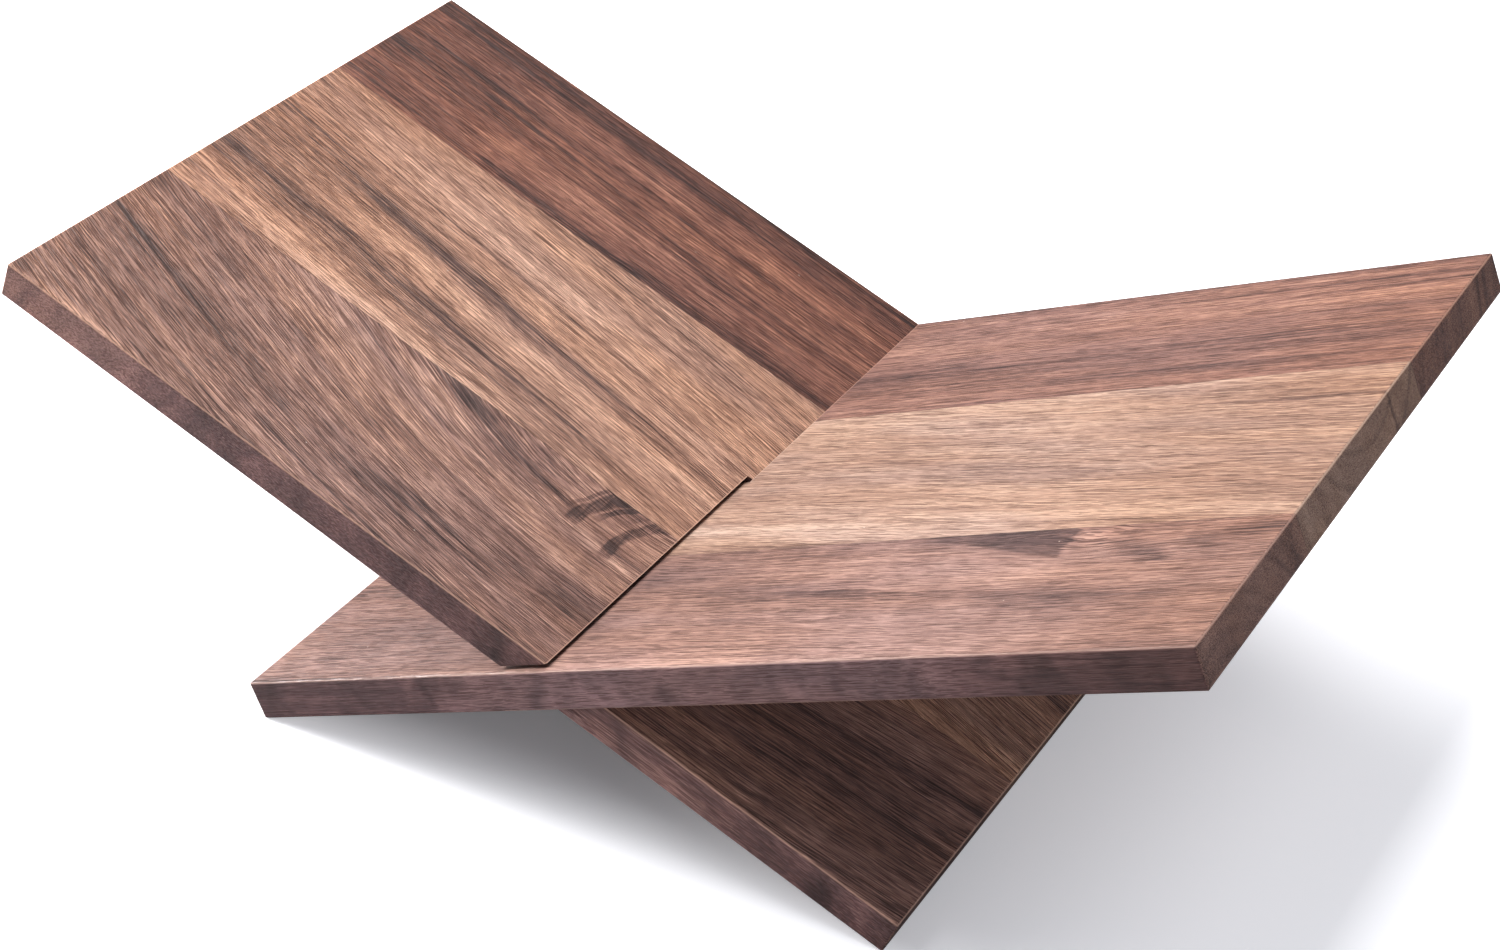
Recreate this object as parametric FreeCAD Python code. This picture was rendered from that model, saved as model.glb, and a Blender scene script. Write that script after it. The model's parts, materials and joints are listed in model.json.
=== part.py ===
import FreeCAD, Part
import math
import os

# Album stand: two flat wooden panels that cross as an X and slot into each other.
# Millimetres. +Z is up and the floor is Z = 0. The panels cross on a line along Y at X = 0,
# and Y = 0 is half-way across the stand. The front of the stand faces -Y.
# Both panels are built as the right-hand one, which rises towards +X and is slotted from the back.
# The left-hand panel is the same thing turned half a turn about Z, so it is slotted from the front.

# Panel sizes
wing_length = 280.5       # along the slope, from the crossing line up to the panel's upper end
leg_length = 160.5        # along the slope, from the crossing line down to the panel's lower end
panel_thickness = 18.0
stand_depth = 310.0       # along Y, which is the depth of the right-hand panel
front_reveal = 2.5        # how far the left-hand panel's front edge stands back from the other's
tilt = 22.5               # degrees from the floor to either panel
top_arris = 1.2           # easing of the edges round the upper face
corner_arris = 1.2        # easing of the four short edges through the thickness
bottom_arris = 2.4        # easing of the edges round the lower face

# Staves: the boards that each panel is glued up from
slotted_stave_width = 100.0   # the outer board on the slotted side, of the right-hand panel
middle_stave_width = 120.0

# Slots: each one lets the other panel through
slot_overrun = 1.4        # how far each slot runs past the middle of the stand
close_gap = 0.3           # running gap on the face that bears on the other panel
open_gap = 1.7            # gap on the face that stays open

# Values that follow from the sizes above
half_depth = stand_depth / 2
half_thickness = panel_thickness / 2
slope_sine = math.sin(math.radians(tilt))
slope_cosine = math.cos(math.radians(tilt))
crossing_height = (
    (leg_length - bottom_arris) * slope_sine
    + (half_thickness - bottom_arris) * slope_cosine
    + bottom_arris
)
slotted_joint_y = half_depth - slotted_stave_width
whole_joint_y = slotted_joint_y - middle_stave_width
cut_margin = panel_thickness      # how far cutting blocks reach past what they cut

X_AXIS = FreeCAD.Vector(1, 0, 0)
Y_AXIS = FreeCAD.Vector(0, 1, 0)
Z_AXIS = FreeCAD.Vector(0, 0, 1)
CROSSING = FreeCAD.Vector(0, 0, 0)


def block(low, high):
    """A box from its lowest corner to its highest one."""
    size = [high[axis] - low[axis] for axis in range(3)]
    return Part.makeBox(*size, FreeCAD.Vector(*low))


def tilted(shape, angle):
    """The shape turned about the crossing line, rising towards +X for a positive angle."""
    turned = shape.copy()
    turned.rotate(CROSSING, Y_AXIS, -angle)
    return turned


def eased_outline(low, high, bottom_radius, top_radius):
    """A rectangle from low to high, as (across, up) pairs, with rounded corners, as a face in XY."""
    left, bottom = low
    right, top = high
    corners = [
        (left, bottom, 1, 1, bottom_radius, 180),
        (right, bottom, -1, 1, bottom_radius, 270),
        (right, top, -1, -1, top_radius, 0),
        (left, top, 1, -1, top_radius, 90),
    ]
    rounds = []
    for x, y, inward_x, inward_y, radius, start in corners:
        centre = FreeCAD.Vector(x + inward_x * radius, y + inward_y * radius, 0)
        rounds.append(Part.makeCircle(radius, centre, Z_AXIS, start, start + 90))
    edges = []
    for index, arc in enumerate(rounds):
        following = rounds[(index + 1) % len(rounds)]
        edges.append(arc)
        edges.append(Part.makeLine(arc.Vertexes[-1].Point, following.Vertexes[0].Point))
    return Part.Face(Part.Wire(edges))


def extruded(outline, length):
    """A face in XY made as thick as length, half to each side."""
    solid = outline.extrude(Z_AXIS * length)
    solid.translate(Z_AXIS * (-length / 2))
    return solid


def flat_panel(front_y, back_y):
    """A panel lying flat, upper end towards +X, with its outer edges eased."""
    reach = 2 * max(wing_length, leg_length, half_depth) + cut_margin
    plan = extruded(
        eased_outline((-leg_length, front_y), (wing_length, back_y), corner_arris, corner_arris),
        reach,
    )
    lengthwise = extruded(
        eased_outline(
            (-leg_length, -half_thickness), (wing_length, half_thickness), bottom_arris, top_arris
        ),
        reach,
    )
    lengthwise.rotate(CROSSING, X_AXIS, 90)
    crosswise = extruded(
        eased_outline((front_y, -half_thickness), (back_y, half_thickness), bottom_arris, top_arris),
        reach,
    )
    crosswise.rotate(CROSSING, X_AXIS, 90)
    crosswise.rotate(CROSSING, Z_AXIS, 90)
    return plan.common(lengthwise).common(crosswise)


def slot_cutter(upper_gap, lower_gap):
    """What is cut from the tilted right-hand panel, for the left-hand one to pass from the back."""
    reach = (panel_thickness + cut_margin) / math.sin(math.radians(2 * tilt))
    passage = block(
        (-reach, -slot_overrun, -half_thickness - lower_gap),
        (reach, half_depth + cut_margin, half_thickness + upper_gap),
    )
    return tilted(passage, -tilt)


def stave_region(low_y, high_y):
    """A tilted block as long as the panel, which keeps the boards between two places in depth."""
    region = block(
        (-leg_length - cut_margin, low_y, -half_thickness - cut_margin),
        (wing_length + cut_margin, high_y, half_thickness + cut_margin),
    )
    return tilted(region, tilt)


def split_at_slot(stave):
    """The two pieces of a stave that the slot cuts through: upper one first."""
    pieces = sorted(stave.Solids, key=lambda piece: piece.CenterOfMass.x)
    return pieces[-1], pieces[0]


def make_staves(front_y, back_y, upper_gap, lower_gap):
    """The four pieces of one panel, in the right-hand panel's place, crossing line at Z = 0."""
    panel = tilted(flat_panel(front_y, back_y), tilt).cut(slot_cutter(upper_gap, lower_gap))
    outer_y = half_depth + cut_margin
    whole = panel.common(stave_region(-outer_y, whole_joint_y))
    middle = panel.common(stave_region(whole_joint_y, slotted_joint_y))
    slotted = panel.common(stave_region(slotted_joint_y, outer_y))
    upper, lower = split_at_slot(slotted)
    return {
        "whole": whole.Solids[0],
        "middle": middle.Solids[0],
        "upper": upper,
        "lower": lower,
    }


def stood_up(shape, half_turns):
    """The shape turned about Z by half turns and lifted so that the stand rests on the floor."""
    placed = shape.copy()
    placed.rotate(CROSSING, Z_AXIS, 180.0 * half_turns)
    placed.translate(Z_AXIS * crossing_height)
    return placed


def right_panel():
    """The panel that rises to the right: its slot is close above the left-hand panel."""
    staves = make_staves(-half_depth, half_depth, close_gap, open_gap)
    names = {
        "whole": "right_front_stave",
        "middle": "right_middle_stave",
        "upper": "right_back_upper_stave",
        "lower": "right_back_lower_stave",
    }
    return {names[key]: stood_up(stave, 0) for key, stave in staves.items()}


def left_panel():
    """The panel that rises to the left: its slot stands open above the right-hand panel.
    Its front edge is the back one until it has made its half turn."""
    staves = make_staves(-half_depth, half_depth - front_reveal, open_gap, close_gap)
    names = {
        "whole": "left_back_stave",
        "middle": "left_middle_stave",
        "upper": "left_front_upper_stave",
        "lower": "left_front_lower_stave",
    }
    return {names[key]: stood_up(stave, 1) for key, stave in staves.items()}


os.makedirs("parts", exist_ok=True)
for nodes in (right_panel(), left_panel()):
    for name, solid in nodes.items():
        solid.exportStep("parts/" + name + ".step")
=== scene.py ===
import json
import math

import bmesh
import bpy
from mathutils import Euler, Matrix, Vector

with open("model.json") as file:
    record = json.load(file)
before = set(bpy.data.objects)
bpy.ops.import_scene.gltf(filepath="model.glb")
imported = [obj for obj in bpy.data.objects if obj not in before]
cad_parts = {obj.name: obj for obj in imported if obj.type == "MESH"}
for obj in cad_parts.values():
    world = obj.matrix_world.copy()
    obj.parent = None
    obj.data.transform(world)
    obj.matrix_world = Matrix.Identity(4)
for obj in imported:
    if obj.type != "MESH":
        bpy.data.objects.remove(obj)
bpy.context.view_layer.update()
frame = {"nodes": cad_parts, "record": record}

MILLIMETRES = 1000.0              # patterns in the wood are worked out in millimetres
FAR_OFF = 1000.0                  # in millimetres, further than any board reaches
RIGHT = 1                         # the panel whose wing rises to the right
LEFT = -1                         # the panel whose wing rises to the left

# ---------------------------------------------------------------- where the panels lie


def rest_face(name):
    """A point on a wing's upper face and that face's normal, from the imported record."""
    mount = next(m for m in frame["record"]["mounts"] if m["name"] == name)
    return Vector(mount["pos_m"]), Vector(mount["axis"])


face_point, right_normal = rest_face("right_wing_rest")
tilt = math.atan2(-right_normal.x, right_normal.z)
valley_height = face_point.dot(right_normal) / right_normal.z


def board_turn(side):
    """The turn that lays a panel flat. side is RIGHT or LEFT."""
    return Euler((0.0, side * tilt, 0.0))


def board_origin(side):
    """Where the two upper faces meet, in the panel's own millimetres."""
    return board_turn(side).to_matrix() @ Vector((0.0, 0.0, valley_height)) * MILLIMETRES


def board_reach(nodes, side):
    """Lowest and highest place of some pieces: along the grain, across, and up from the face."""
    turn = board_turn(side).to_matrix()
    origin = board_origin(side)
    places = [turn @ (piece.matrix_world @ vertex.co) * MILLIMETRES - origin
              for piece in (frame["nodes"][node] for node in nodes) for vertex in piece.data.vertices]
    low = Vector([min(place[axis] for place in places) for axis in range(3)])
    high = Vector([max(place[axis] for place in places) for axis in range(3)])
    return low, high


# ---------------------------------------------------------------- small helpers for node trees


def put(tree, kind, links=None, **settings):
    """Adds a node, sets its properties, and fills its inputs with sockets or plain values."""
    node = tree.nodes.new(kind)
    for name, value in settings.items():
        setattr(node, name, value)
    for name, value in (links or {}).items():
        if isinstance(value, bpy.types.NodeSocket):
            tree.links.new(value, node.inputs[name])
        else:
            node.inputs[name].default_value = value
    return node


def sum_of(tree, operation, *values, clamp=False):
    """One Math node; returns its result."""
    links = dict(enumerate(values))
    return put(tree, "ShaderNodeMath", links, operation=operation, use_clamp=clamp).outputs[0]


def vector_of(tree, operation, *values):
    """One Vector Math node; returns its vector."""
    return put(tree, "ShaderNodeVectorMath", dict(enumerate(values)), operation=operation).outputs[0]


def measure_of(tree, operation, *values):
    """One Vector Math node; returns its number, such as a length or a dot product."""
    node = put(tree, "ShaderNodeVectorMath", dict(enumerate(values)), operation=operation)
    return node.outputs["Value"]


def weighed(tree, base, *parts):
    """base plus each (value, weight) pair multiplied out."""
    for value, weight in parts:
        base = put(tree, "ShaderNodeMath", {0: value, 1: weight, 2: base},
                   operation="MULTIPLY_ADD").outputs[0]
    return base


def ease(tree, value, low, high, to_low=0.0, to_high=1.0):
    """Value carried smoothly from the range low..high to the range to_low..to_high."""
    links = {"Value": value, "From Min": low, "From Max": high, "To Min": to_low, "To Max": to_high}
    node = put(tree, "ShaderNodeMapRange", links, interpolation_type="SMOOTHSTEP")
    return node.outputs["Result"]


def noise(tree, vector, detail=2.0, roughness=0.5):
    """A noise texture; returns its value less a half, so it swings about zero."""
    links = {"Vector": vector, "Scale": 1.0, "Detail": detail, "Roughness": roughness}
    value = put(tree, "ShaderNodeTexNoise", links).outputs["Fac"]
    return sum_of(tree, "SUBTRACT", value, 0.5)


def cells(tree, vector):
    """Distance from the nearest of many points strewn one to a unit cell."""
    return put(tree, "ShaderNodeTexVoronoi", {"Vector": vector, "Scale": 1.0}).outputs["Distance"]


def stretched(tree, vector, scale, offset=(0.0, 0.0, 0.0)):
    """A vector scaled along each axis and then shifted."""
    links = {"Vector": vector, "Scale": scale, "Location": offset}
    return put(tree, "ShaderNodeMapping", links).outputs["Vector"]


def joined(tree, x, y, z):
    """A vector from three values."""
    return put(tree, "ShaderNodeCombineXYZ", {0: x, 1: y, 2: z}).outputs[0]


def parted(tree, vector):
    """The three values of a vector."""
    return put(tree, "ShaderNodeSeparateXYZ", {0: vector}).outputs


def blend_colours(tree, factor, first, second, mode="MIX"):
    """A Mix node on colours; returns its result."""
    node = put(tree, "ShaderNodeMix", data_type="RGBA", blend_type=mode)
    for index, value in ((0, factor), (6, first), (7, second)):
        if isinstance(value, bpy.types.NodeSocket):
            tree.links.new(value, node.inputs[index])
        else:
            node.inputs[index].default_value = value
    return node.outputs[2]


def new_group(name, inputs, outputs):
    """An empty shader node group with named sockets; inputs are (name, kind, default)."""
    tree = bpy.data.node_groups.new(name, "ShaderNodeTree")
    for label, kind, default in inputs:
        socket = tree.interface.new_socket(label, in_out="INPUT", socket_type="NodeSocket" + kind)
        if default is not None:
            socket.default_value = default
    for label, kind in outputs:
        tree.interface.new_socket(label, in_out="OUTPUT", socket_type="NodeSocket" + kind)
    return tree, tree.nodes.new("NodeGroupInput").outputs, tree.nodes.new("NodeGroupOutput").inputs


def use_group(tree, group, links):
    """Places a group in a tree and returns its outputs."""
    return put(tree, "ShaderNodeGroup", links, node_tree=group).outputs


# ---------------------------------------------------------------- how walnut is figured
# Every pattern is worked out in a board's own place: millimetres along the grain from the valley,
# across it from the middle of the stand, and up from the upper face. The same solid pattern runs
# through faces, edges and ends.


BROAD_DRIFT = (1 / 240, 1 / 75, 1 / 75)   # how often grain drifts, per millimetre each way
FINE_DRIFT = (1 / 26, 1 / 16, 1 / 16)
BOARDS_APART = (613.0, 271.0)     # from one seed to the next, along and across the same great tree
HUNDREDTH = 0.01                  # a bow is how far grain has curved after a hundred millimetres
KNOT_STRETCH = 1.8                # a knot bends grain this much further along than across


def make_grain_flow():
    """Bends straight grain: the board's place in, the place as the tree grew it out."""
    tree, given, result = new_group(
        "grain_flow",
        [("Place", "Vector", None), ("Seed", "Float", 0.0), ("Slope", "Float", 0.05),
         ("Bow", "Float", 0.0), ("Wander", "Float", 6.0), ("Wave", "Float", 0.6),
         ("Knot", "Vector", (0.0, 0.0, 0.0)), ("Knot Size", "Float", 10.0),
         ("Knot Push", "Float", 0.0)],
        [("Flow", "Vector")],
    )
    shift = joined(tree, sum_of(tree, "MULTIPLY", given["Seed"], BOARDS_APART[0]),
                   sum_of(tree, "MULTIPLY", given["Seed"], BOARDS_APART[1]), given["Seed"])
    seeded = vector_of(tree, "ADD", given["Place"], shift)
    broad = noise(tree, stretched(tree, seeded, BROAD_DRIFT), detail=1.0)
    fine = noise(tree, stretched(tree, seeded, FINE_DRIFT), detail=2.0)
    along, across, up = (parted(tree, given["Place"])[axis] for axis in range(3))
    hundreds = sum_of(tree, "MULTIPLY", along, HUNDREDTH)
    bent = weighed(tree, across, (along, given["Slope"]), (broad, given["Wander"]),
                   (fine, given["Wave"]), (sum_of(tree, "MULTIPLY", hundreds, hundreds), given["Bow"]))

    knot_length = sum_of(tree, "MULTIPLY", given["Knot Size"], KNOT_STRETCH)
    knot_size = joined(tree, knot_length, given["Knot Size"], 1.0)
    from_knot = vector_of(tree, "SUBTRACT", joined(tree, along, across, 0.0), given["Knot"])
    sizes = measure_of(tree, "LENGTH", vector_of(tree, "DIVIDE", from_knot, knot_size))
    squared = sum_of(tree, "MULTIPLY", sizes, sizes)
    near = sum_of(tree, "EXPONENT", sum_of(tree, "MULTIPLY", squared, -1.0))
    push = sum_of(tree, "MULTIPLY", near, given["Knot Push"])
    push = sum_of(tree, "MULTIPLY", push, parted(tree, from_knot)[1])
    flow = joined(tree, along, sum_of(tree, "SUBTRACT", bent, push), up)
    tree.links.new(flow, result["Flow"])
    return tree


PORE_WOBBLE = (0.11, 0.4, 0.4)    # how often a pore's line wobbles, per millimetre each way
WOBBLE_REACH = 0.3                # how far it wobbles, in millimetres
PORE_CROWDING = (0.010, 0.16, 0.16)       # how often pores crowd together
PORE_SIZE = 0.29                  # how much of its room a pore takes in the closest wood
OPENER_PORE = 0.16                # what it gains in the most open wood
CROWDED_PORE = 0.20               # what it gains or loses where pores crowd or thin out
PORE_LAYERS = (                   # how closely pores lie each way, and where each layer starts
    ((0.040, 2.1, 2.1), (0.0, 0.0, 0.0)),
    ((0.11, 2.9, 2.9), (31.3, 7.7, 3.1)),
)
PORE_RIM = 0.07                   # how softly a pore's wall falls, as a share of its room
PORE_GLINT_WIDTH = 0.2                    # how wide the painted highlight round it is
SHORT_PORE_DEPTH = 0.85           # short pores are shallower than long ones


def make_pores():
    """Open pores: short dark dashes along the grain, dots on the ends, each with a painted highlight
    round it.
    """
    tree, given, result = new_group(
        "open_pores",
        [("Flow", "Vector", None), ("Seed", "Float", 0.0), ("Amount", "Float", 0.5)],
        [("Mask", "Float"), ("Glint", "Float")],
    )
    moved = vector_of(tree, "ADD", given["Flow"], joined(tree, given["Seed"], given["Seed"], 0.0))
    wobble = noise(tree, stretched(tree, moved, PORE_WOBBLE), detail=2.0)
    sideways = sum_of(tree, "MULTIPLY", wobble, WOBBLE_REACH)
    moved = vector_of(tree, "ADD", moved, joined(tree, 0.0, sideways, 0.0))
    crowding = noise(tree, stretched(tree, moved, PORE_CROWDING), detail=2.0)
    reach = weighed(tree, PORE_SIZE, (given["Amount"], OPENER_PORE), (crowding, CROWDED_PORE))
    masks = []
    glints = []
    for closeness, start in PORE_LAYERS:
        gap = cells(tree, stretched(tree, moved, closeness, start))
        masks.append(ease(tree, gap, sum_of(tree, "SUBTRACT", reach, PORE_RIM), reach, 1.0, 0.0))
        glints.append(ease(tree, gap, reach, sum_of(tree, "ADD", reach, PORE_GLINT_WIDTH), 1.0, 0.0))
    mask = sum_of(tree, "MAXIMUM", masks[0], sum_of(tree, "MULTIPLY", masks[1], SHORT_PORE_DEPTH))
    glint = sum_of(tree, "MAXIMUM", glints[0], glints[1])
    tree.links.new(mask, result["Mask"])
    tree.links.new(sum_of(tree, "SUBTRACT", glint, mask, clamp=True), result["Glint"])
    return tree


STREAK_TIP = 0.3                  # width of a streak's tips, as a share of its given width
STREAK_BULGE = 3.6                # what its middle gains: a quarter of this


def make_streak():
    """A tapering streak of lighter or darker wood between two places on a board."""
    tree, given, result = new_group(
        "grain_streak",
        [("Place", "Vector", None), ("Start", "Vector", None), ("Finish", "Vector", None),
         ("Half Width", "Float", 5.0), ("Strength", "Float", 0.3)],
        [("Amount", "Float")],
    )
    run = vector_of(tree, "SUBTRACT", given["Finish"], given["Start"])
    reach = vector_of(tree, "SUBTRACT", given["Place"], given["Start"])
    share = sum_of(tree, "DIVIDE", measure_of(tree, "DOT_PRODUCT", reach, run),
                   measure_of(tree, "DOT_PRODUCT", run, run), clamp=True)
    on_line = put(tree, "ShaderNodeVectorMath", {0: run, "Scale": share}, operation="SCALE").outputs[0]
    gap = measure_of(tree, "LENGTH", vector_of(tree, "SUBTRACT", reach, on_line))
    bulge = sum_of(tree, "MULTIPLY", share, sum_of(tree, "SUBTRACT", 1.0, share))
    tapered = weighed(tree, STREAK_TIP, (bulge, STREAK_BULGE))
    width = sum_of(tree, "MULTIPLY", given["Half Width"], tapered)
    amount = sum_of(tree, "MULTIPLY", ease(tree, gap, 0.0, width, 1.0, 0.0), given["Strength"])
    tree.links.new(amount, result["Amount"])
    return tree


ARC_FADE = 0.07                   # how softly an arc ends, in the cosine of its sweep
ARC_CORE = 0.55                   # share of an arc's half width that is fully dark
ARC_FEATHERS = (0.9, 0.12, 0.1)   # how often it darkens and lightens, per millimetre each way
ARC_DARKNESS = 0.9                # how dark it is on the whole
ARC_UNEVENNESS = 1.6              # and how much that changes
ARC_WAVER = (0.12, 0.1, 0.1)      # how often its radius wavers
ARC_WAVER_REACH = 3.0             # and how far


def make_bud_arc():
    """Part of a dark ring left round an old bud."""
    tree, given, result = new_group(
        "bud_arc",
        [("Place", "Vector", None), ("Centre", "Vector", None), ("Radius", "Float", 20.0),
         ("Half Width", "Float", 2.0), ("Facing", "Vector", (0.0, 1.0, 0.0)),
         ("Narrowness", "Float", 0.8), ("Strength", "Float", 0.5)],
        [("Amount", "Float")],
    )
    away = vector_of(tree, "SUBTRACT", given["Place"], given["Centre"])
    radius = measure_of(tree, "LENGTH", away)
    fine = noise(tree, stretched(tree, given["Place"], ARC_FEATHERS), detail=2.0)
    coarse = noise(tree, stretched(tree, given["Place"], ARC_WAVER), detail=1.0)
    radius = weighed(tree, radius, (coarse, ARC_WAVER_REACH))
    gap = sum_of(tree, "ABSOLUTE", sum_of(tree, "SUBTRACT", radius, given["Radius"]))
    core = sum_of(tree, "MULTIPLY", given["Half Width"], ARC_CORE)
    ring = ease(tree, gap, core, given["Half Width"], 1.0, 0.0)
    facing = measure_of(tree, "DOT_PRODUCT", vector_of(tree, "NORMALIZE", away), given["Facing"])
    full = sum_of(tree, "ADD", given["Narrowness"], ARC_FADE)
    window = ease(tree, facing, given["Narrowness"], full)
    feathers = weighed(tree, ARC_DARKNESS, (fine, ARC_UNEVENNESS))
    amount = sum_of(tree, "MULTIPLY", sum_of(tree, "MULTIPLY", ring, window),
                    sum_of(tree, "MULTIPLY", feathers, given["Strength"]))
    tree.links.new(amount, result["Amount"])
    return tree


WEDGE_HEAD = (-0.6, 1.4)          # how crisply a wedge is cut off at its head
WEDGE_EDGE = (-3.0, 1.5)          # how softly its lower edge fades
WEDGE_TAIL = 0.8                  # the share of its length over which it grows dark


def make_wedge():
    """A dark wedge that hangs from a glued joint, thin at its tail and cut off short at its head."""
    tree, given, result = new_group(
        "grain_wedge",
        [("Place", "Vector", None), ("Head", "Vector", None), ("Length", "Float", 75.0),
         ("Depth", "Float", 22.0), ("Strength", "Float", -0.3)],
        [("Amount", "Float")],
    )
    behind, below = parted(tree, vector_of(tree, "SUBTRACT", given["Head"], given["Place"]))[0:2]
    share = sum_of(tree, "SUBTRACT", 1.0, sum_of(tree, "DIVIDE", behind, given["Length"]), clamp=True)
    past_edge = sum_of(tree, "SUBTRACT", below, sum_of(tree, "MULTIPLY", share, given["Depth"]))
    mask = sum_of(tree, "MULTIPLY", ease(tree, behind, *WEDGE_HEAD),
                  ease(tree, past_edge, *WEDGE_EDGE, 1.0, 0.0))
    mask = sum_of(tree, "MULTIPLY", mask, ease(tree, share, 0.0, WEDGE_TAIL))
    tree.links.new(sum_of(tree, "MULTIPLY", mask, given["Strength"]), result["Amount"])
    return tree


# The fine grain, from broad streaks to hairs: how often it changes in a millimetre along, across
# and up, its detail and roughness, and how strongly it darkens or lightens the wood.
GRAIN_LAYERS = {
    "streaks": ((0.006, 0.45, 0.45), 2.0, 0.5, 0.25),
    "lines": ((0.006, 1.7, 1.7), 2.0, 0.6, 1.4),
    "threads": ((0.030, 3.2, 3.2), 2.0, 0.6, 1.6),
    "hairs": ((0.12, 3.4, 3.4), 1.0, 0.5, 0.7),
}
SEED_STEP = 97.0                  # how far along the tree one seed's bands are from the next
PITH_LEAN = 0.02                  # how far the pith leans from the board, for each millimetre along
BAND_ALONG = 0.0022               # how often bands change along the board and round the tree
BAND_ROUND = 0.5
RING_ALONG = 0.003                # how often growth rings change along the board
RING_EDGE = (0.05, 0.2)           # where a ring's dark line starts and is full
RING_SWELL = (-0.10, 0.12)        # the same for the broader rings that show on an end
HAIR_RELIEF = 0.6                 # how much the hairs raise the surface beside the threads
CURL_SIZE = (1 / 15, 1 / 46, 1 / 26)      # how often curl comes, per millimetre each way
SWIRL_SIZE = (1 / 60, 1 / 40, 1 / 40)     # how often what bends it comes
SWIRL_PUSH = 2.6                  # how strongly it is bent
PATCH_SIZE = (0.008, 0.035, 0.035)        # how often heartwood drifts from warm to cool brown
PATCH_START = (5.0, 9.0, 2.0)
PATCH_EDGE = (-0.16, 0.16)
SPECK_SPREAD = (0.045, 0.06, 0.06)        # how closely pale specks are strewn
SPECK_EDGE = (0.012, 0.022)
PORE_DARKNESS = 0.9
UNTINTED = (1.0, 1.0, 1.0, 1.0)
WARM_PATCH = (1.03, 1.0, 0.95, 1.0)
COOL_PATCH = (0.98, 1.0, 1.04, 1.0)
# the pale tint round each pore is a painted highlight
PORE_GLINT_TINT = (1.16, 1.13, 1.10, 1.0)
PORE_TINT = (0.30, 0.24, 0.22, 1.0)
SPECK_COLOUR = (0.62, 0.50, 0.42, 1.0)


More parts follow.
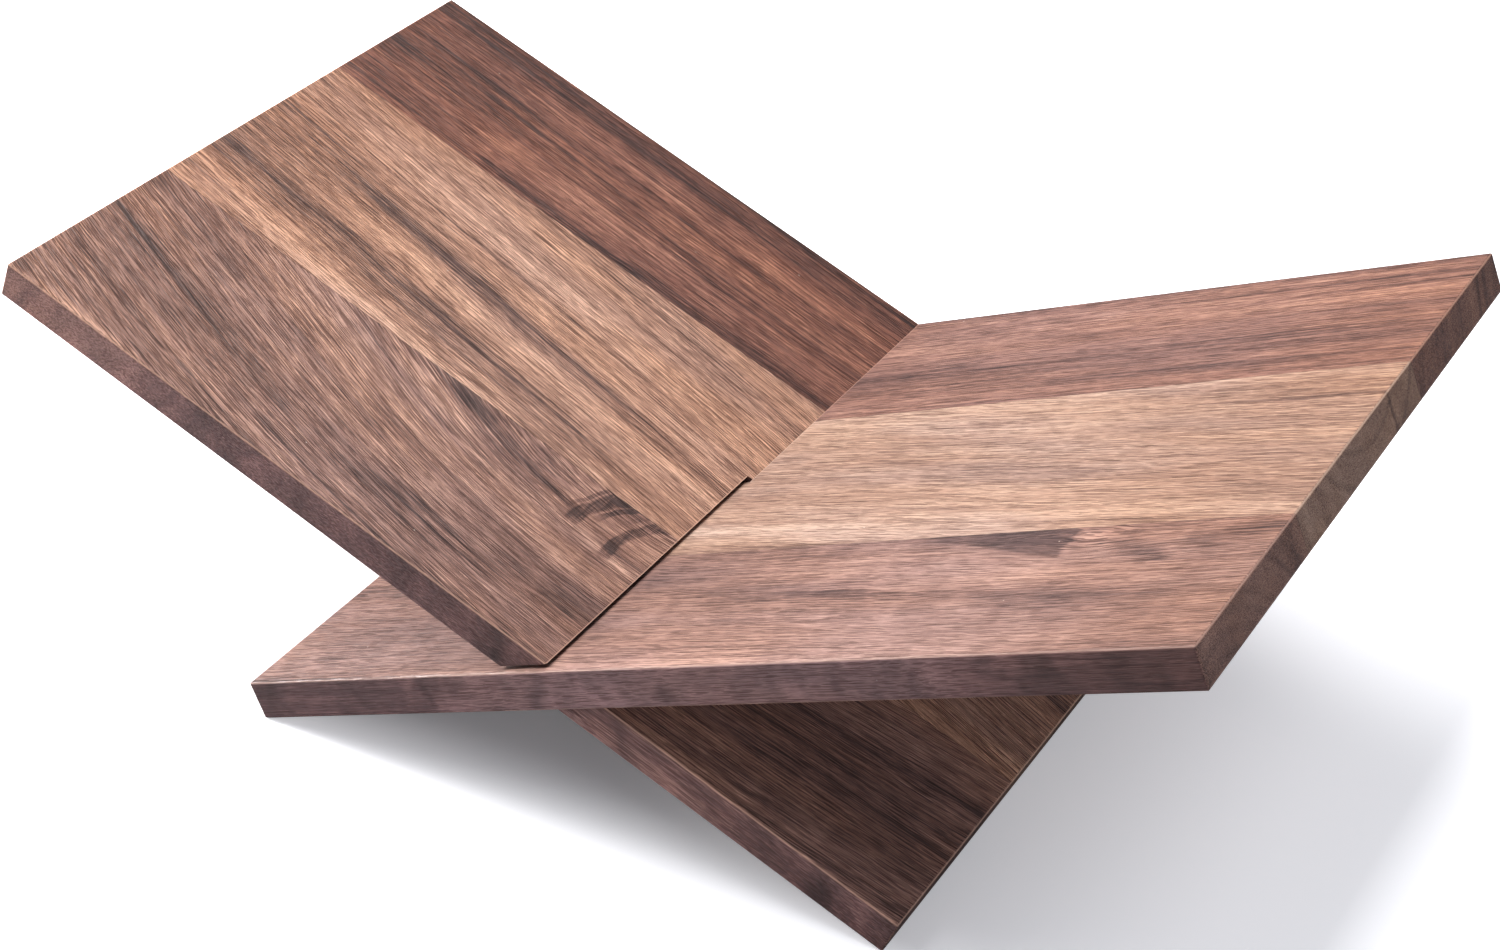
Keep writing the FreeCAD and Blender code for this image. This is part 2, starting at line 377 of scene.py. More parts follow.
def make_heartwood():
    """Colour and surface of planed, oiled walnut along a grain flow."""
    tree, given, result = new_group(
        "heartwood",
        [("Flow", "Vector", None), ("Place", "Vector", None), ("Seed", "Float", 0.0),
         ("Dark", "Color", (0.1, 0.05, 0.04, 1)), ("Middle", "Color", (0.3, 0.17, 0.12, 1)),
         ("Pale", "Color", (0.5, 0.3, 0.2, 1)),
         ("Tone", "Float", 0.5), ("Band Contrast", "Float", 1.0), ("Band Width", "Float", 12.0),
         ("Pith", "Vector", (0.0, 0.0, -60.0)), ("Ring Width", "Float", 5.0),
         ("Ring Strength", "Float", 0.4), ("Curl", "Float", 0.2), ("Pore Amount", "Float", 0.5),
         ("Figure And Painted Shading", "Float", 0.0)],
        [("Color", "Color"), ("Pores", "Float"), ("Fibres", "Float"), ("Curl", "Float"),
         ("Rings", "Float")],
    )
    # rings and bands go round the tree's pith, which leans a little along the board
    along, across, up = (parted(tree, given["Flow"])[axis] for axis in range(3))
    pith = parted(tree, given["Pith"])
    from_pith = sum_of(tree, "SUBTRACT", across, pith[1])
    below = weighed(tree, sum_of(tree, "SUBTRACT", up, pith[2]), (along, PITH_LEAN))
    radius = measure_of(tree, "LENGTH", joined(tree, from_pith, below, 0.0))
    grown = joined(tree, weighed(tree, along, (given["Seed"], SEED_STEP)), radius,
                   sum_of(tree, "ARCTAN2", from_pith, below))
    band_scale = joined(tree, BAND_ALONG, sum_of(tree, "DIVIDE", 1.0, given["Band Width"]),
                        BAND_ROUND)
    bands = noise(tree, vector_of(tree, "MULTIPLY", grown, band_scale), detail=3.0, roughness=0.55)
    rings_place = joined(tree, sum_of(tree, "MULTIPLY", along, RING_ALONG),
                         sum_of(tree, "DIVIDE", radius, given["Ring Width"]), given["Seed"])
    rings = noise(tree, rings_place, detail=1.0)
    ring_line = ease(tree, rings, *RING_EDGE)

    seeded = vector_of(tree, "ADD", given["Flow"], joined(tree, given["Seed"], given["Seed"], 0.0))
    layers = {name: noise(tree, stretched(tree, seeded, scale), detail=detail, roughness=roughness)
              for name, (scale, detail, roughness, strength) in GRAIN_LAYERS.items()}
    swirl = noise(tree, stretched(tree, given["Place"], SWIRL_SIZE), detail=1.0)
    bend = joined(tree, sum_of(tree, "MULTIPLY", swirl, SWIRL_PUSH), given["Seed"], 0.0)
    slanted = vector_of(tree, "ADD", stretched(tree, given["Place"], CURL_SIZE), bend)
    curl = noise(tree, slanted, detail=2.0)

    # one tone from all of it: 0 is the darkest wood, 1 the palest
    tone = weighed(tree, given["Tone"], (bands, given["Band Contrast"]))
    for name, layer in layers.items():
        strength = GRAIN_LAYERS[name][3]
        tone = weighed(tree, tone, (layer, strength))
    tone = weighed(tree, tone, (curl, given["Curl"]), (given["Figure And Painted Shading"], 1.0))
    tone = sum_of(tree, "SUBTRACT", tone, sum_of(tree, "MULTIPLY", ring_line, given["Ring Strength"]),
                  clamp=True)
    lower = blend_colours(tree, ease(tree, tone, 0.0, 0.5), given["Dark"], given["Middle"])
    wood = blend_colours(tree, ease(tree, tone, 0.5, 1.0), lower, given["Pale"])
    drift = noise(tree, stretched(tree, seeded, PATCH_SIZE, PATCH_START), detail=1.0)
    drifted = blend_colours(tree, ease(tree, drift, *PATCH_EDGE), WARM_PATCH, COOL_PATCH)
    wood = blend_colours(tree, 1.0, wood, drifted, mode="MULTIPLY")

    pores = use_group(tree, PORES, {"Flow": given["Flow"], "Seed": given["Seed"],
                                    "Amount": given["Pore Amount"]})
    # a painted highlight round each pore
    glinted = blend_colours(tree, 1.0, wood, PORE_GLINT_TINT, mode="MULTIPLY")
    wood = blend_colours(tree, pores["Glint"], wood, glinted)
    pored = blend_colours(tree, 1.0, wood, PORE_TINT, mode="MULTIPLY")
    wood = blend_colours(tree, sum_of(tree, "MULTIPLY", pores["Mask"], PORE_DARKNESS), wood, pored)
    from_speck = cells(tree, stretched(tree, seeded, SPECK_SPREAD))
    specks = ease(tree, from_speck, *SPECK_EDGE, 1.0, 0.0)
    wood = blend_colours(tree, specks, wood, SPECK_COLOUR)
    tree.links.new(wood, result["Color"])
    tree.links.new(pores["Mask"], result["Pores"])
    tree.links.new(weighed(tree, layers["threads"], (layers["hairs"], HAIR_RELIEF)), result["Fibres"])
    tree.links.new(curl, result["Curl"])
    tree.links.new(ease(tree, rings, *RING_SWELL), result["Rings"])
    return tree


SLOT_END = (-1.2, -0.8)           # the slot's edge is paled, as wear and a painted highlight, to just short of its end
SLOT_WEAR_AND_HIGHLIGHT = 1.7                   # how much narrower that pale edge is than the outer ones
SQUARE_ON = (0.70, 0.98)          # how squarely a face has to lie to count as a side or an end
CORNER_WIDTH = (0.2, 0.9)         # from the very corner, where the wear and painted highlight start to fade and are gone
JOINT_WIDTH = (0.08, 0.28)        # the same for a glued joint's dark line


def make_board_edges():
    """Masks for a board's sides, its ends, its eased corners and its glued joints."""
    tree, given, result = new_group(
        "board_edges",
        [("Place", "Vector", None), ("Facing", "Vector", None), ("Panel Low", "Vector", None),
         ("Panel High", "Vector", None), ("Joint Low", "Float", -FAR_OFF),
         ("Joint High", "Float", FAR_OFF), ("Slot Edge", "Float", FAR_OFF), ("Slot Side", "Float", 1.0)],
        [("Side", "Float"), ("End", "Float"), ("Corner", "Float"), ("Joint", "Float")],
    )
    facing = parted(tree, vector_of(tree, "ABSOLUTE", given["Facing"]))
    gaps = parted(tree, vector_of(tree, "MINIMUM",
                                  vector_of(tree, "SUBTRACT", given["Place"], given["Panel Low"]),
                                  vector_of(tree, "SUBTRACT", given["Panel High"], given["Place"])))
    along, across = parted(tree, given["Place"])[0:2]
    to_slot = sum_of(tree, "ABSOLUTE", sum_of(tree, "SUBTRACT", along, given["Slot Edge"]))
    slotted = sum_of(tree, "MULTIPLY", across, given["Slot Side"])
    to_slot = weighed(tree, ease(tree, slotted, *SLOT_END, FAR_OFF, 0.0), (to_slot, SLOT_WEAR_AND_HIGHLIGHT))
    nearest = sum_of(tree, "MINIMUM", sum_of(tree, "MINIMUM", gaps[0], gaps[1]), to_slot)
    corner = sum_of(tree, "MAXIMUM", nearest, gaps[2])
    to_joint = sum_of(tree, "MINIMUM",
                      sum_of(tree, "ABSOLUTE", sum_of(tree, "SUBTRACT", across, given["Joint Low"])),
                      sum_of(tree, "ABSOLUTE", sum_of(tree, "SUBTRACT", given["Joint High"], across)))
    tree.links.new(ease(tree, facing[1], *SQUARE_ON), result["Side"])
    tree.links.new(ease(tree, facing[0], *SQUARE_ON), result["End"])
    tree.links.new(ease(tree, corner, *CORNER_WIDTH, 1.0, 0.0), result["Corner"])
    tree.links.new(ease(tree, to_joint, *JOINT_WIDTH, 1.0, 0.0), result["Joint"])
    return tree


FLOW = make_grain_flow()
PORES = make_pores()
STREAK = make_streak()
BUD_ARC = make_bud_arc()
WEDGE = make_wedge()
HEARTWOOD = make_heartwood()
BOARD_EDGES = make_board_edges()


# ---------------------------------------------------------------- the six boards
# Each board's own values, in millimetres. A place is how far along the grain from the valley, and
# how far across the stand. The right-hand panel's wing is at positive places along, and the
# left-hand panel's at negative ones.
#   seed                  which part of the tree the board is from
#   slope, bow            how far its grain leans and curves
#   wander, wave          how far its grain drifts, broadly and finely
#   knot, _size, _push    where grain bends round a knot, how near to it, and how strongly
#   dark, middle, pale    the colours of its oiled wood
#   tone, contrast        how pale it is, from 0 to 1, and how strongly its bands differ
#   band_width            how wide its bands are
#   pith                  where the middle of its tree was: across, and up from the face
#   ring_width, _strength how far apart its growth rings are, and how dark
#   curl, pores           how curly it is, and how open its pores are
#   marks                 streaks, some of them painted light and shade: (start, finish, half width, strength)
#   arcs                  bud arcs: (centre, radius, half width, the way it faces, cosine of half its
#                         sweep, strength)
#   wedges                dark wedges: (head, length, depth, strength)
# A strength above 0 is paler and one below 0 is darker.


def colour(red, green, blue):
    """A linear colour from the 0..255 values of a paint chart."""
    return tuple(((c / 255 + 0.055) / 1.055) ** 2.4 for c in (red, green, blue)) + (1.0,)


# The right-hand panel's back board: red-brown, with dark lines close to both joints.
RIGHT_BACK_WALNUT = {
    "seed": 3.0, "slope": 0.02, "wander": 12.0, "wave": 0.7, "dark": colour(77, 50, 46),
    "middle": colour(150, 107, 94), "pale": colour(200, 154, 134), "tone": 0.50, "contrast": 1.0,
    "band_width": 16.0, "pith": (-60.0, 70.0), "ring_width": 5.0, "ring_strength": 0.22,
    "curl": 0.25, "pores": 0.6,
    "marks": [((-40, 128), (300, 122), 18, 0.12), ((-60, 94), (330, 84), 16, -0.17),
              ((-40, 58), (320, 57), 6, -0.2), ((-40, 154), (300, 153), 5, -0.2),
              ((120, 143), (290, 140), 6, -0.12)],
}

# Its middle board: the palest of all, with fine dark lines that rise slowly to the back.
RIGHT_MIDDLE_WALNUT = {
    "seed": 8.0, "slope": 0.10, "wander": 9.0, "wave": 0.6, "dark": colour(102, 73, 64),
    "middle": colour(173, 137, 119), "pale": colour(215, 182, 161), "tone": 0.63,
    "contrast": 0.8, "band_width": 15.0, "pith": (37.0, 42.0), "ring_width": 6.0,
    "ring_strength": 0.2, "curl": 0.12, "pores": 0.5,
    "marks": [((40, 12), (300, -50), 8, -0.18), ((190, 34), (300, 27), 2.4, -0.5),
              ((150, 46), (300, 38), 10, -0.16), ((-40, -15), (120, -29), 7, -0.14),
              ((-60, -42), (300, -60), 7, 0.22), ((-190, -60), (150, -68), 9, -0.34),
              ((-30, 40), (120, 0), 10, -0.10), ((150, -10), (300, -30), 6, 0.12)],
}

# Its front board: rose-brown and curly, with a dark wedge behind a small knot.
RIGHT_FRONT_WALNUT = {
    "seed": 14.0, "slope": 0.02, "wander": 20.0, "wave": 1.0, "dark": colour(86, 60, 56),
    "middle": colour(150, 113, 102), "pale": colour(192, 153, 139), "tone": 0.56,
    "contrast": 0.9, "band_width": 20.0, "pith": (-140.0, -60.0), "ring_width": 6.0,
    "ring_strength": 0.18, "curl": 0.55, "pores": 0.5, "knot": (198, -72), "knot_size": 14.0,
    "knot_push": 0.7,
    "marks": [((108, -62), (180, -74), 11, -0.12), ((201, -62), (203, -92), 6, 0.08),
              ((206, -76), (240, -93), 8, -0.36), ((236, -80), (286, -73), 9, -0.36),
              ((226, -66), (236, -68), 5, -0.2),
              ((160, -98), (200, -100), 13, 0.2), ((200, -109), (268, -106), 3, 0.2),
              ((-30, -80), (160, -122), 18, -0.16), ((170, -114), (262, -128), 14, -0.18),
              ((-60, -68), (110, -74), 12, -0.18), ((-60, -157), (190, -157), 8, 0.34),
              ((170, -157), (330, -157), 8, -0.3), ((-220, -157), (-50, -157), 8, -0.42)],
    "wedges": [((192, -64), 84.0, 24.0, -0.48)],
    "arcs": [((213, -64), 8, 2.4, (0.3, -0.95), 0.8, -0.24)],
}

# The left-hand panel's back board: the darkest and reddest, with one small knot.
LEFT_BACK_WALNUT = {
    "seed": 21.0, "slope": 0.02, "wander": 12.0, "wave": 0.7, "dark": colour(67, 41, 36),
    "middle": colour(145, 93, 76), "pale": colour(215, 156, 126), "tone": 0.46, "contrast": 0.8,
    "band_width": 12.0, "pith": (10.0, -60.0), "ring_width": 4.0, "ring_strength": 0.26,
    "curl": 0.2, "pores": 0.75, "knot": (-108, 62), "knot_size": 6.0, "knot_push": 0.6,
    "marks": [((-300, 150), (40, 148), 18, -0.2), ((-300, 92), (-90, 90), 22, 0.16),
              ((-290, 120), (20, 117), 8, -0.18), ((-200, 72), (-100, 66), 5, -0.3),
              ((-115, 70), (20, 67), 9, -0.22), ((-113, 66), (-103, 67), 5, -0.5),
              # the last streak here is painted shade, darkening the wing tip where the light falls off
              ((-120, 104), (20, 100), 10, 0.1), ((-310, 104), (-195, 104), 60, -0.18)],
}

# Its middle board: pale, with broad dark stripes that cross it slowly.
LEFT_MIDDLE_WALNUT = {
    "seed": 27.0, "slope": 0.12, "wander": 8.0, "wave": 0.7, "dark": colour(89, 63, 57),
    "middle": colour(181, 136, 114), "pale": colour(245, 196, 166), "tone": 0.60,
    "contrast": 0.6, "band_width": 12.0, "pith": (150.0, -50.0), "ring_width": 5.0,
    "ring_strength": 0.22, "curl": 0.16, "pores": 0.68,
    "marks": [((-300, 28), (20, -21), 10, -0.24), ((-300, 0), (20, -27), 7, 0.16),
              ((-300, -18), (20, -48), 13, -0.22), ((-330, -47), (-90, -54), 8, 0.26),
              ((-220, 10), (-100, -8), 7, -0.16), ((-250, 44), (-40, 22), 12, 0.1),
              # the streaks here are painted shade: the wing tip darkened where the light falls off, and
              # the leg darkened in the right wing's shadow
              ((-310, 4), (-205, 4), 60, -0.14), ((25, 5), (230, 5), 70, -0.22)],
}

# Its front board: grain that sweeps round a large knot, and the dark arcs of an old bud.
LEFT_FRONT_WALNUT = {
    "seed": 33.0, "slope": 0.067, "bow": -5.0, "wander": 8.0, "wave": 1.1,
    "dark": colour(80, 57, 52), "middle": colour(158, 117, 103), "pale": colour(229, 181, 156),
    "tone": 0.54, "contrast": 0.85, "band_width": 13.0, "pith": (60.0, -60.0), "ring_width": 5.0,
    "ring_strength": 0.26, "curl": 0.35, "pores": 0.8, "knot": (-45, -25), "knot_size": 62.0,
    "knot_push": 0.92,
    "marks": [((-124, -55), (-86, -58), 8, -0.32), ((-144, -64), (-96, -74), 8, 0.24),
              ((-70, -52), (-66, -68), 7, -0.22), ((-112, -58), (-34, -80), 7, -0.3),
              ((-76, -72), (-2, -90), 4, 0.26), ((-100, -82), (-46, -90), 4, 0.2),
              ((-36, -55), (-20, -57), 7, -0.3),
              ((-124, -132), (20, -115), 16, -0.24), ((-60, -98), (-2, -107), 11, 0.14),
              ((-290, -86), (-150, -128), 17, -0.2), ((-225, -58), (-130, -98), 10, 0.16),
              # the streaks along -155 lie on the long front edge and are painted light and shade: pale
              # at the tip, darker further on, and a painted highlight on the leg; the one along -105 is
              # painted shade on the leg, under the right wing
              ((-130, -98), (-50, -124), 9, 0.14), ((-310, -155), (-200, -155), 8, 0.45),
              ((-200, -155), (30, -155), 8, -0.26), ((0, -155), (120, -155), 8, 0.3),
              ((25, -105), (230, -105), 60, -0.18)],
    "arcs": [((8, -82), 52.5, 1.2, (-0.90, 0.43), 0.93, -0.4),
             ((8, -82), 47.5, 4.2, (-0.93, 0.37), 0.90, -0.55),
             ((8, -82), 41.5, 2.0, (-0.85, 0.52), 0.92, -0.5),
             ((16, -79), 41.0, 1.2, (-0.86, 0.50), 0.95, -0.25),
             ((16, -79), 35.5, 3.2, (-0.95, 0.30), 0.82, -0.46)],
}

# What each finish is called, the pieces sawn from its board, their panel, and its values.
# A slotted board's two pieces share one finish, so their grain runs on across the slot.
BOARDS = [
    ("right_back_walnut", ["right_back_upper_stave", "right_back_lower_stave"], RIGHT,
     RIGHT_BACK_WALNUT),
    ("right_middle_walnut", ["right_middle_stave"], RIGHT, RIGHT_MIDDLE_WALNUT),
    ("right_front_walnut", ["right_front_stave"], RIGHT, RIGHT_FRONT_WALNUT),
    ("left_back_walnut", ["left_back_stave"], LEFT, LEFT_BACK_WALNUT),
    ("left_middle_walnut", ["left_middle_stave"], LEFT, LEFT_MIDDLE_WALNUT),
    ("left_front_walnut", ["left_front_upper_stave", "left_front_lower_stave"], LEFT,
     LEFT_FRONT_WALNUT),
]


# ---------------------------------------------------------------- how a board is finished

FRAYING = (0.03, 1.1, 1.1)        # how often a mark's outline frays, per millimetre each way
RAGGEDNESS = (0.03, 0.09, 0.09)   # how often it wavers
MARK_FRAYING = (44.0, 6.0)        # how far it frays along, and wavers across
WEDGE_FRAYING = (9.0, 8.0)        # a wedge's outline is crisper along the grain
ON_FACE = (1.0, 1.0, 0.0)         # marks go straight down through the board
SAME_EDGE = 5.0                   # a board that ends this near its panel's edge has no joint there

SIDE_PAINTED_SHADE = -0.36                # long edges are painted darker, as shade where they face away from the light
END_GRAIN_AND_PAINTED_SHADE = {RIGHT: -0.14, LEFT: -0.42}   # end grain soaks up more oil and dries darker; the left-hand panel's ends are painted darker still, as shade, where the low left light falls straight on them
JOINT_SHADE = -0.35
SIDE_CURL = 1.1                   # curl shows as light and dark bars on a long edge
END_RINGS = -0.15
SIDE_CALM = 0.35                  # planing closes the grain on a long edge
SIDE_TINT = (1.0, 0.93, 1.09, 1.0)
END_TINT = (1.09, 1.10, 1.11, 1.0)
TIP_FALLOFF_REACH = (130.0, 290.0)       # from the valley, the reach of painted shade that darkens and warms the wood towards the wing tips
TIP_FALLOFF_TINT = (0.86, 0.76, 0.67, 1.0)
CORNER_WEAR_AND_HIGHLIGHT = 0.8                 # how far the corners are paled: worn oil and a painted highlight


def flat(place):
    """A place on a board's face as a vector."""
    return (place[0], place[1], 0.0)


def board_place(tree, side):
    """A board's own place and facing: along the grain from the valley, across, and up."""
    turn = board_turn(side)
    coordinates = put(tree, "ShaderNodeTexCoord").outputs
    place = put(tree, "ShaderNodeMapping", {
        "Vector": coordinates["Object"], "Scale": (MILLIMETRES,) * 3, "Rotation": turn,
        "Location": -board_origin(side)}).outputs["Vector"]
    facing = put(tree, "ShaderNodeMapping", {"Vector": coordinates["Normal"], "Rotation": turn},
                 vector_type="VECTOR").outputs["Vector"]
    return place, facing


def grown_marks_and_painted_shading(tree, place, flow, wood):
    """The marks that a board grew with, and the painted light and shade listed among them, added up.
    Their outlines fray along the fibres.
    """
    fray = noise(tree, stretched(tree, flow, FRAYING), detail=2.0)
    waver = noise(tree, stretched(tree, place, RAGGEDNESS), detail=2.0)

    def frayed(start, reach):
        """A place moved by the fraying, at most half of its reach each way."""
        moved = joined(tree, sum_of(tree, "MULTIPLY", fray, reach[0]),
                       sum_of(tree, "MULTIPLY", waver, reach[1]), 0.0)
        return vector_of(tree, "ADD", start, moved)

    on_face = vector_of(tree, "MULTIPLY", place, ON_FACE)
    streak_place = frayed(on_face, MARK_FRAYING)
    amounts = []
    for start, finish, half_width, strength in wood["marks"]:
        amounts.append(use_group(tree, STREAK, {
            "Place": streak_place, "Start": flat(start), "Finish": flat(finish),
            "Half Width": half_width, "Strength": strength})["Amount"])
    for centre, radius, half_width, facing_way, narrowness, strength in wood.get("arcs", ()):
        amounts.append(use_group(tree, BUD_ARC, {
            "Place": on_face, "Centre": flat(centre), "Radius": radius, "Half Width": half_width,
            "Facing": flat(facing_way), "Narrowness": narrowness, "Strength": strength})["Amount"])
    for head, length, depth, strength in wood.get("wedges", ()):
        amounts.append(use_group(tree, WEDGE, {
            "Place": frayed(place, WEDGE_FRAYING), "Head": flat(head), "Length": length,
            "Depth": depth, "Strength": strength})["Amount"])
    figure_and_painted_shading = 0.0
    for amount in amounts:
        figure_and_painted_shading = sum_of(tree, "ADD", amount, figure_and_painted_shading)
    return figure_and_painted_shading


def edge_masks(tree, place, facing, nodes, side):
    """Where a board's sides, ends, worn corners and glued joints are, from its pieces' real reach."""
    stave_low, stave_high = board_reach(nodes, side)
    panel = "right" if side == RIGHT else "left"
    panel_nodes = [node for node in frame["nodes"] if node.startswith(panel)]
    panel_low, panel_high = board_reach(panel_nodes, side)
    if side == RIGHT:
        slot_edge = board_reach(["right_back_upper_stave"], side)[0].x
    else:
        slot_edge = board_reach(["left_front_upper_stave"], side)[1].x
    joint_low = stave_low.y if stave_low.y > panel_low.y + SAME_EDGE else -FAR_OFF
    joint_high = stave_high.y if stave_high.y < panel_high.y - SAME_EDGE else FAR_OFF
    return use_group(tree, BOARD_EDGES, {
        "Place": place, "Facing": facing, "Panel Low": panel_low, "Panel High": panel_high,
        "Joint Low": joint_low, "Joint High": joint_high, "Slot Edge": slot_edge,
        "Slot Side": float(side)})


def oiled_colour_with_painted_light(tree, heart, edges, place, side, wood):
    """The oiled wood: darker on its joints and its end grain, painted darker as shade on its long edges,
    on the left-hand panel's ends and towards the wing tips, and paled along its corners as wear and a
    painted highlight.
    """
    shade = weighed(tree, 1.0, (edges["Side"], SIDE_PAINTED_SHADE), (edges["End"], END_GRAIN_AND_PAINTED_SHADE[side]),
                    (edges["Joint"], JOINT_SHADE))
    shade = weighed(tree, shade,
                    (sum_of(tree, "MULTIPLY", edges["Side"], heart["Curl"]), SIDE_CURL),
                    (sum_of(tree, "MULTIPLY", edges["End"], heart["Rings"]), END_RINGS))
    tint = blend_colours(tree, edges["Side"], UNTINTED, SIDE_TINT)
    tint = blend_colours(tree, edges["End"], tint, END_TINT)
    calm = sum_of(tree, "MULTIPLY", edges["Side"], SIDE_CALM)
    planed = blend_colours(tree, calm, heart["Color"], wood["middle"])
    shaded = put(tree, "ShaderNodeVectorMath", {0: planed, "Scale": shade},
                 operation="SCALE").outputs[0]
    shaded = blend_colours(tree, 1.0, shaded, tint, mode="MULTIPLY")
    from_valley = sum_of(tree, "ABSOLUTE", parted(tree, place)[0])
    tip_falloff = blend_colours(tree, ease(tree, from_valley, *TIP_FALLOFF_REACH), UNTINTED, TIP_FALLOFF_TINT)
    shaded = blend_colours(tree, 1.0, shaded, tip_falloff, mode="MULTIPLY")
    worn_and_highlit = sum_of(tree, "MULTIPLY", edges["Corner"], CORNER_WEAR_AND_HIGHLIGHT)
    return blend_colours(tree, worn_and_highlit, shaded, wood["pale"])


def board_material(name, nodes, side, wood):
    """The finish of one board, put on its pieces. side is RIGHT or LEFT."""
    material = bpy.data.materials.new(name)
    material.use_nodes = True
    tree = material.node_tree
    tree.nodes.clear()
    place, facing = board_place(tree, side)
    grain = use_group(tree, FLOW, {
        "Place": place, "Seed": wood["seed"], "Slope": wood["slope"], "Bow": wood.get("bow", 0.0),
        "Wander": wood["wander"], "Wave": wood["wave"], "Knot": flat(wood.get("knot", (0, 0))),
        "Knot Size": wood.get("knot_size", 10.0), "Knot Push": wood.get("knot_push", 0.0)})
    pith_across, pith_up = wood["pith"]
    heart = use_group(tree, HEARTWOOD, {
        "Flow": grain["Flow"], "Place": place, "Seed": wood["seed"], "Dark": wood["dark"],
        "Middle": wood["middle"], "Pale": wood["pale"], "Tone": wood["tone"],
        "Band Contrast": wood["contrast"], "Band Width": wood["band_width"],
        "Pith": (0.0, pith_across, pith_up), "Ring Width": wood["ring_width"],
        "Ring Strength": wood["ring_strength"], "Curl": wood["curl"],
        "Pore Amount": wood["pores"], "Figure And Painted Shading": grown_marks_and_painted_shading(tree, place, grain["Flow"], wood)})
    edges = edge_masks(tree, place, facing, nodes, side)

    height = weighed(tree, sum_of(tree, "MULTIPLY", heart["Pores"], -1.0), (heart["Fibres"], 0.9))
    bump = put(tree, "ShaderNodeBump", {"Height": height, "Strength": 0.55, "Distance": 0.00035})
    roughness = weighed(tree, 0.46, (heart["Pores"], 0.3), (heart["Fibres"], 0.2),
                        (edges["Corner"], -0.1))
    finish = put(tree, "ShaderNodeBsdfPrincipled", {
        "Base Color": oiled_colour_with_painted_light(tree, heart, edges, place, side, wood), "Roughness": roughness,
        "Normal": bump.outputs["Normal"], "IOR": 1.45})
    output = put(tree, "ShaderNodeOutputMaterial", {"Surface": finish.outputs["BSDF"]})
    output.is_active_output = True
    for node in nodes:
        frame["nodes"][node].material_slots[0].material = material


# ---------------------------------------------------------------- floor, light and camera


FLOOR_SEEN = (0.90, 0.90, 0.92, 1.0)
FLOOR_BOUNCE = (0.42, 0.42, 0.44, 1.0)    # what the floor sends back up under the wings
FLOOR_GLOW = (0.97, 0.97, 1.0, 1.0)
SHADED_MIDDLE = 0.05              # how far the painted shadow on the floor lies to the right, in metres
SHADED_HALF_LENGTH = 0.20
SHADED_HALF_DEPTH = 0.12
SHADED_RIM = (-0.01, 0.08)        # from its edge, where the floor starts to brighten and is open
SHADED_GLOW = 0.11                # how brightly the floor shows where it is darkest
OPEN_GLOW = 0.9                   # and away from the stand
WING_REACH = (-0.02, 0.15)        # to the right, where the painted shadow starts and stops lightening
WING_GLOW = 0.33                  # and how brightly the floor shows by then
TIP_REACH = (0.14, 0.26)          # the same under the tip of the wing
TIP_GLOW = 0.20                   # and how much that adds


def painted_floor_shadow(tree, place):
    """How brightly the floor glows: a painted shadow, dim under the stand and brighter under its right
    wing.
    """
    centred = stretched(tree, place, (1.0,) * 3, (-SHADED_MIDDLE, 0.0, 0.0))
    aside = parted(tree, vector_of(tree, "ABSOLUTE", centred))
    outside = sum_of(tree, "MAXIMUM", sum_of(tree, "SUBTRACT", aside[0], SHADED_HALF_LENGTH),
                     sum_of(tree, "SUBTRACT", aside[1], SHADED_HALF_DEPTH))
    rightward = parted(tree, place)[0]
    under = weighed(tree, ease(tree, rightward, *WING_REACH, SHADED_GLOW, WING_GLOW),
                    (ease(tree, rightward, *TIP_REACH), TIP_GLOW))
    around = ease(tree, outside, *SHADED_RIM, SHADED_GLOW, OPEN_GLOW)
    return sum_of(tree, "MAXIMUM", under, around)


def floor_material():
    """Matt white that glows for the camera alone, so that it lights nothing; the glow paints a shadow
    under the stand.
    """
    material = bpy.data.materials.new("floor_with_painted_shadow")
    material.use_nodes = True
    tree = material.node_tree
    seen = put(tree, "ShaderNodeLightPath").outputs["Is Camera Ray"]
    # the glow paints the floor's shadow under the stand
    painted_shadow_glow = painted_floor_shadow(tree, put(tree, "ShaderNodeTexCoord").outputs["Object"])
    shader = tree.nodes["Principled BSDF"]
    tone = blend_colours(tree, seen, FLOOR_BOUNCE, FLOOR_SEEN)
    tree.links.new(tone, shader.inputs["Base Color"])
    tree.links.new(sum_of(tree, "MULTIPLY", seen, painted_shadow_glow), shader.inputs["Emission Strength"])
    shader.inputs["Emission Color"].default_value = FLOOR_GLOW
    shader.inputs["Roughness"].default_value = 0.9
    shader.inputs["Specular IOR Level"].default_value = 0.1
    return material


def make_floor():
    """A pale floor with a painted shadow under the stand, far wider than the camera sees."""
    mesh = bpy.data.meshes.new("floor")
    shape = bmesh.new()
    bmesh.ops.create_grid(shape, x_segments=1, y_segments=1, size=6.0)
    shape.to_mesh(mesh)
    shape.free()
    floor = bpy.data.objects.new("floor", mesh)
    bpy.context.scene.collection.objects.link(floor)
    mesh.materials.append(floor_material())


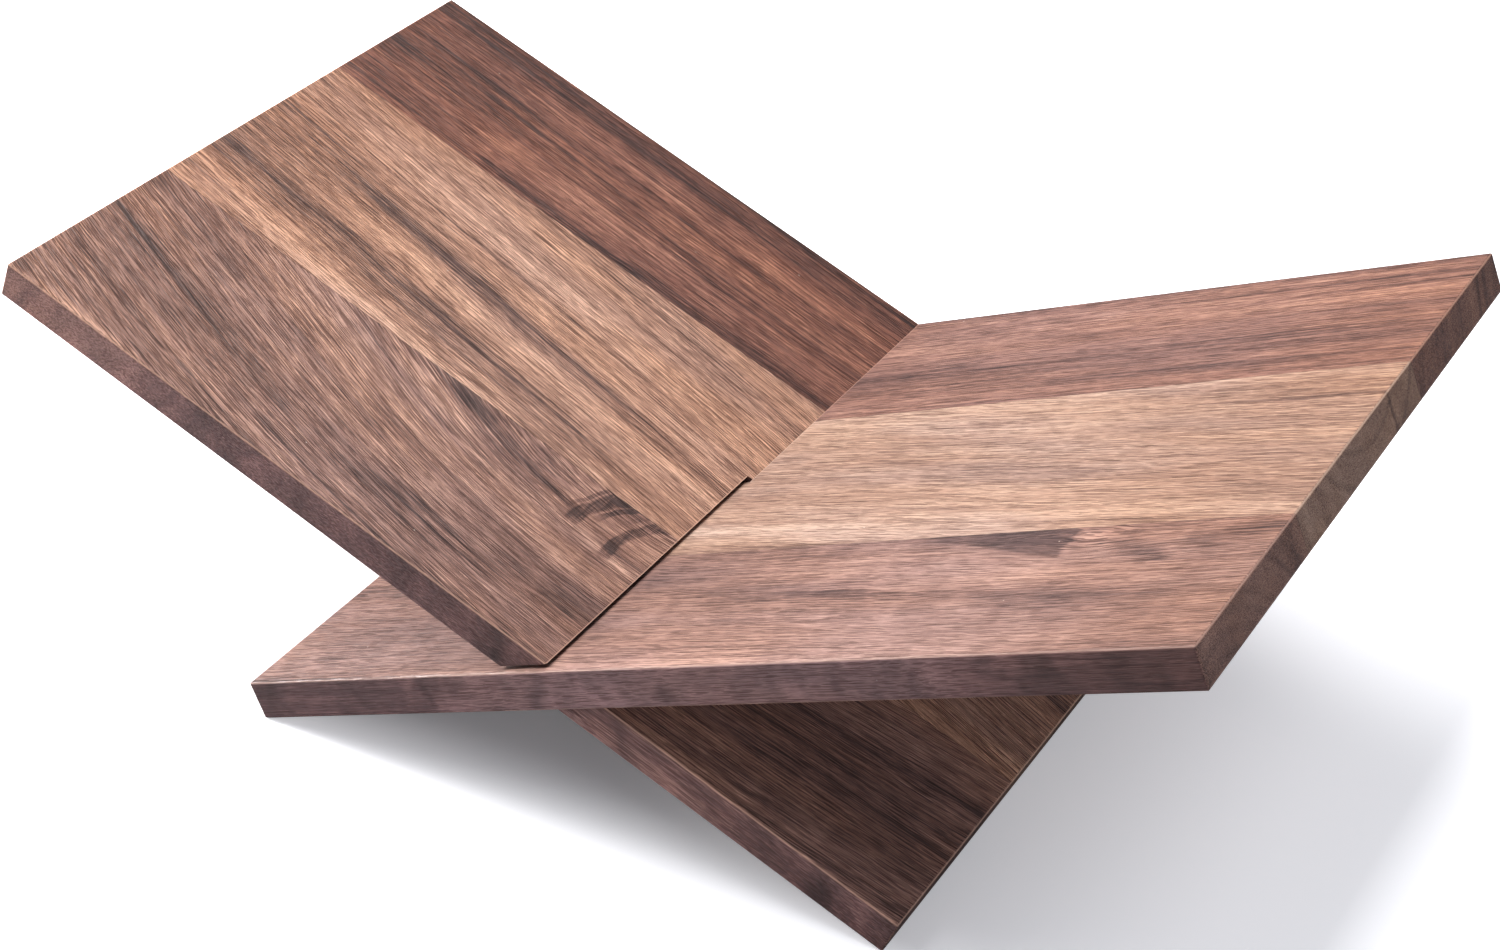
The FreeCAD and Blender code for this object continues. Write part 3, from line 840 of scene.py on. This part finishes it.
WHITE_LIGHT = (1.0, 1.0, 1.0)
COOL_LIGHT = (0.80, 0.89, 1.0)
SOFTBOXES = [                     # name, place, what it points at, width, height, watts and tint
    ("overhead_softbox", (-1.0, 0.36, 2.06), (0.0, 0.0, 0.1), 2.2, 1.7, 80.0, WHITE_LIGHT),
    ("left_softbox", (-0.9, -0.15, 0.30), (-0.15, -0.10, 0.05), 0.6, 0.4, 13.0, WHITE_LIGHT),
    ("right_softbox", (1.3, -0.60, 0.35), (0.1, 0.0, 0.03), 0.8, 0.5, 3.8, COOL_LIGHT),
]


def soft_light(name, place, aim, width, height, power, tint):
    """A rectangular softbox that points at aim."""
    light = bpy.data.lights.new(name, "AREA")
    light.shape = "RECTANGLE"
    light.size = width
    light.size_y = height
    light.energy = power
    light.color = tint
    lamp = bpy.data.objects.new(name, light)
    lamp.location = place
    lamp.rotation_euler = (Vector(aim) - Vector(place)).to_track_quat("-Z", "Y").to_euler()
    bpy.context.scene.collection.objects.link(lamp)


def light_the_studio():
    """A softbox overhead, a low one at each side, and dim light all round."""
    world = bpy.data.worlds.new("studio")
    world.use_nodes = True
    background = world.node_tree.nodes["Background"]
    background.inputs["Color"].default_value = (0.86, 0.90, 1.0, 1.0)
    background.inputs["Strength"].default_value = 0.25
    bpy.context.scene.world = world
    for softbox in SOFTBOXES:
        soft_light(*softbox)


def set_camera():
    """The camera stands to the right of the front, above, and looks down at the stand."""
    azimuth = math.radians(30.1)
    elevation = math.radians(32.73)
    distance = 1.0
    aim = Vector((0.0779, -0.1350, 0.1818))
    back = Vector((math.sin(azimuth) * math.cos(elevation), -math.cos(azimuth) * math.cos(elevation),
                   math.sin(elevation)))
    data = bpy.data.cameras.new("camera")
    data.lens = 67.57
    data.sensor_width = 36.0
    camera = bpy.data.objects.new("camera", data)
    camera.location = aim + back * distance
    camera.rotation_euler = (-back).to_track_quat("-Z", "Y").to_euler()
    bpy.context.scene.collection.objects.link(camera)
    bpy.context.scene.camera = camera


bpy.context.scene.view_settings.view_transform = "Standard"
for board in BOARDS:
    board_material(*board)
make_floor()
light_the_studio()
set_camera()
